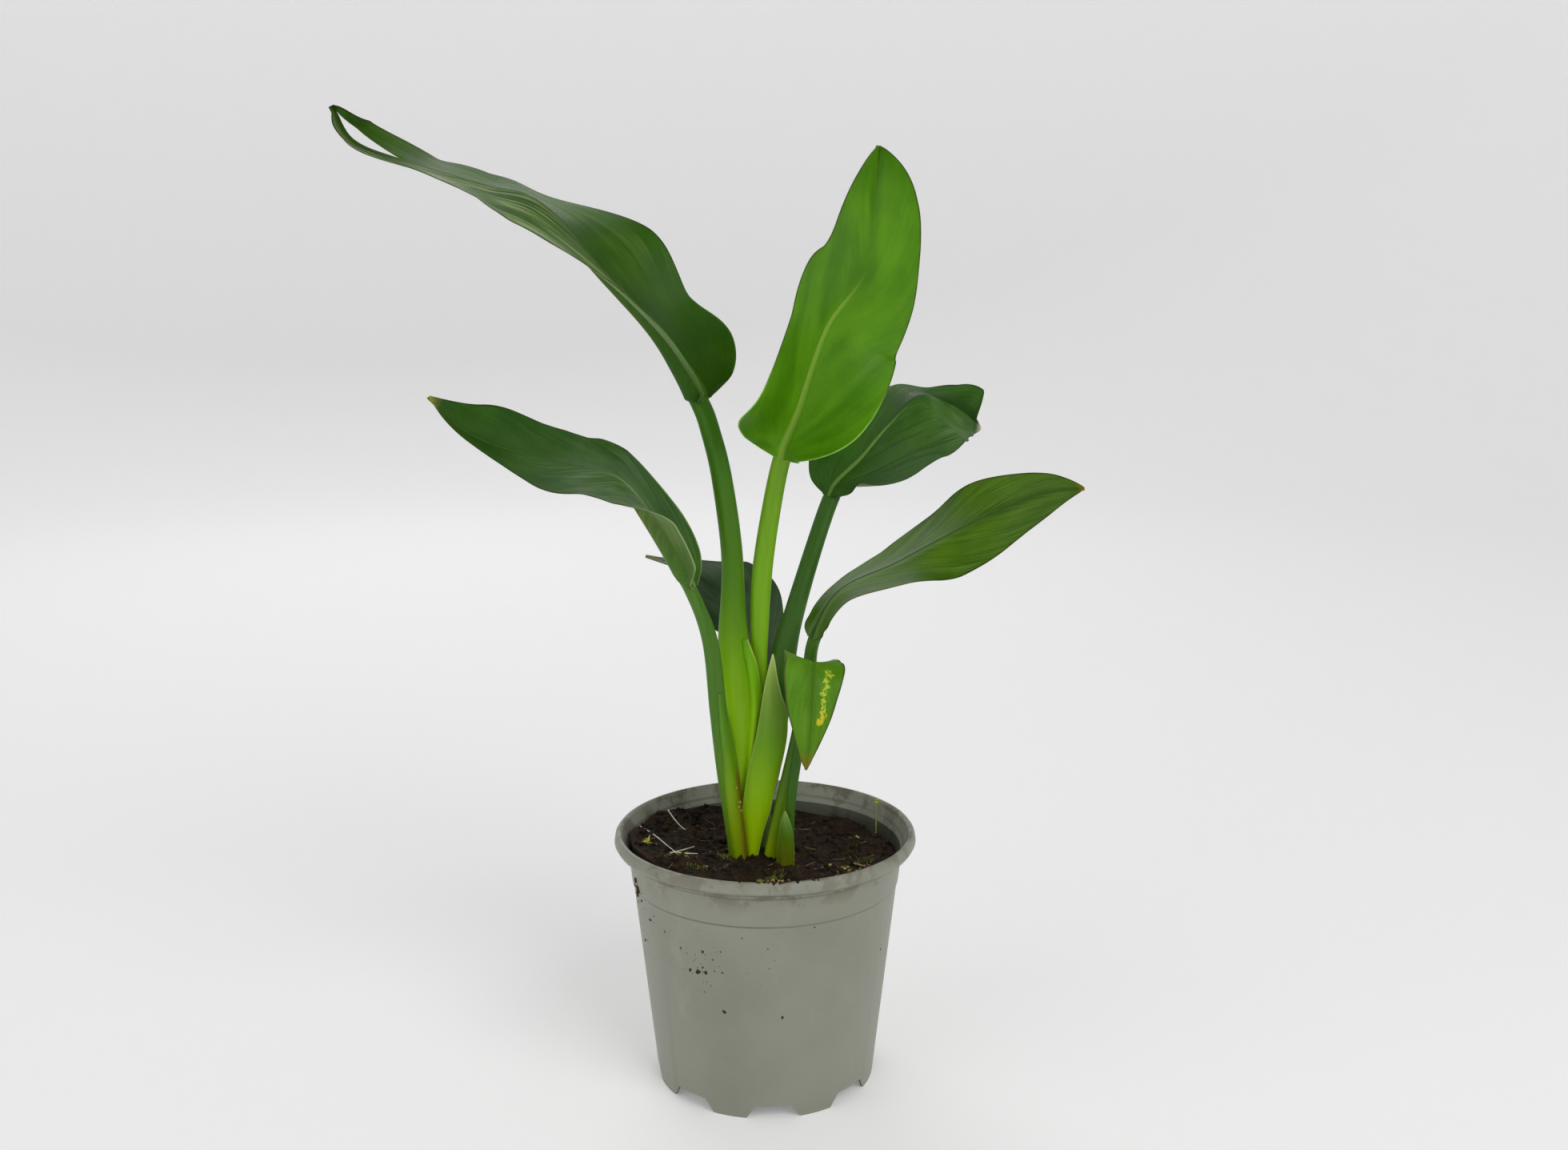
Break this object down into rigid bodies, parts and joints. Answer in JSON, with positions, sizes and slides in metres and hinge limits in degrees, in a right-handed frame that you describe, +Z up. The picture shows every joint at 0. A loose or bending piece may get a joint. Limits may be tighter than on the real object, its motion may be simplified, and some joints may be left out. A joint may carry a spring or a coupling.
{
  "type": "potted bird of paradise plant",
  "caption": "Young bird of paradise plant with long-stalked paddle leaves in a round grey nursery pot, standing on the pot's flat base.",
  "frame": {"origin": "centre of the pot's underside, on the surface that the pot stands on", "axes": "+Z up along the pot's axis and the plant's height; the pictured side faces -Y"},
  "size_m": [0.2729, 0.12, 0.3783],
  "materials": {
    "pot": "smooth satin grey, dusted with soil",
    "soil": "rough damp peat",
    "young_leaf_stalk": "smooth waxy stalk",
    "young_leaf_blade": "waxy leaf with fine side veins",
    "tall_leaf_stalk": "smooth waxy stalk",
    "tall_leaf_blade": "waxy leaf with fine side veins",
    "right_leaf_stalk": "smooth waxy stalk",
    "right_leaf_blade": "waxy leaf with fine side veins",
    "left_leaf_stalk": "smooth waxy stalk",
    "left_leaf_blade": "waxy leaf with fine side veins",
    "rear_leaf_stalk": "smooth waxy stalk",
    "rear_leaf_blade": "waxy leaf with fine side veins",
    "drooping_leaf_stalk": "smooth waxy stalk",
    "drooping_leaf_blade": "waxy leaf with fine side veins",
    "folded_leaf_stalk": "smooth waxy stalk",
    "folded_leaf_blade": "waxy leaf with fine side veins"
  },
  "bodies": {
    "root": {"pot": "pot", "soil": "soil", "young_leaf_stalk": "young_leaf_stalk", "young_leaf_blade": "young_leaf_blade", "tall_leaf_stalk": "tall_leaf_stalk", "tall_leaf_blade": "tall_leaf_blade", "right_leaf_stalk": "right_leaf_stalk", "right_leaf_blade": "right_leaf_blade", "left_leaf_stalk": "left_leaf_stalk", "left_leaf_blade": "left_leaf_blade", "rear_leaf_stalk": "rear_leaf_stalk", "rear_leaf_blade": "rear_leaf_blade", "drooping_leaf_stalk": "drooping_leaf_stalk", "drooping_leaf_blade": "drooping_leaf_blade", "folded_leaf_stalk": "folded_leaf_stalk", "folded_leaf_blade": "folded_leaf_blade"}
  },
  "joints": []
}
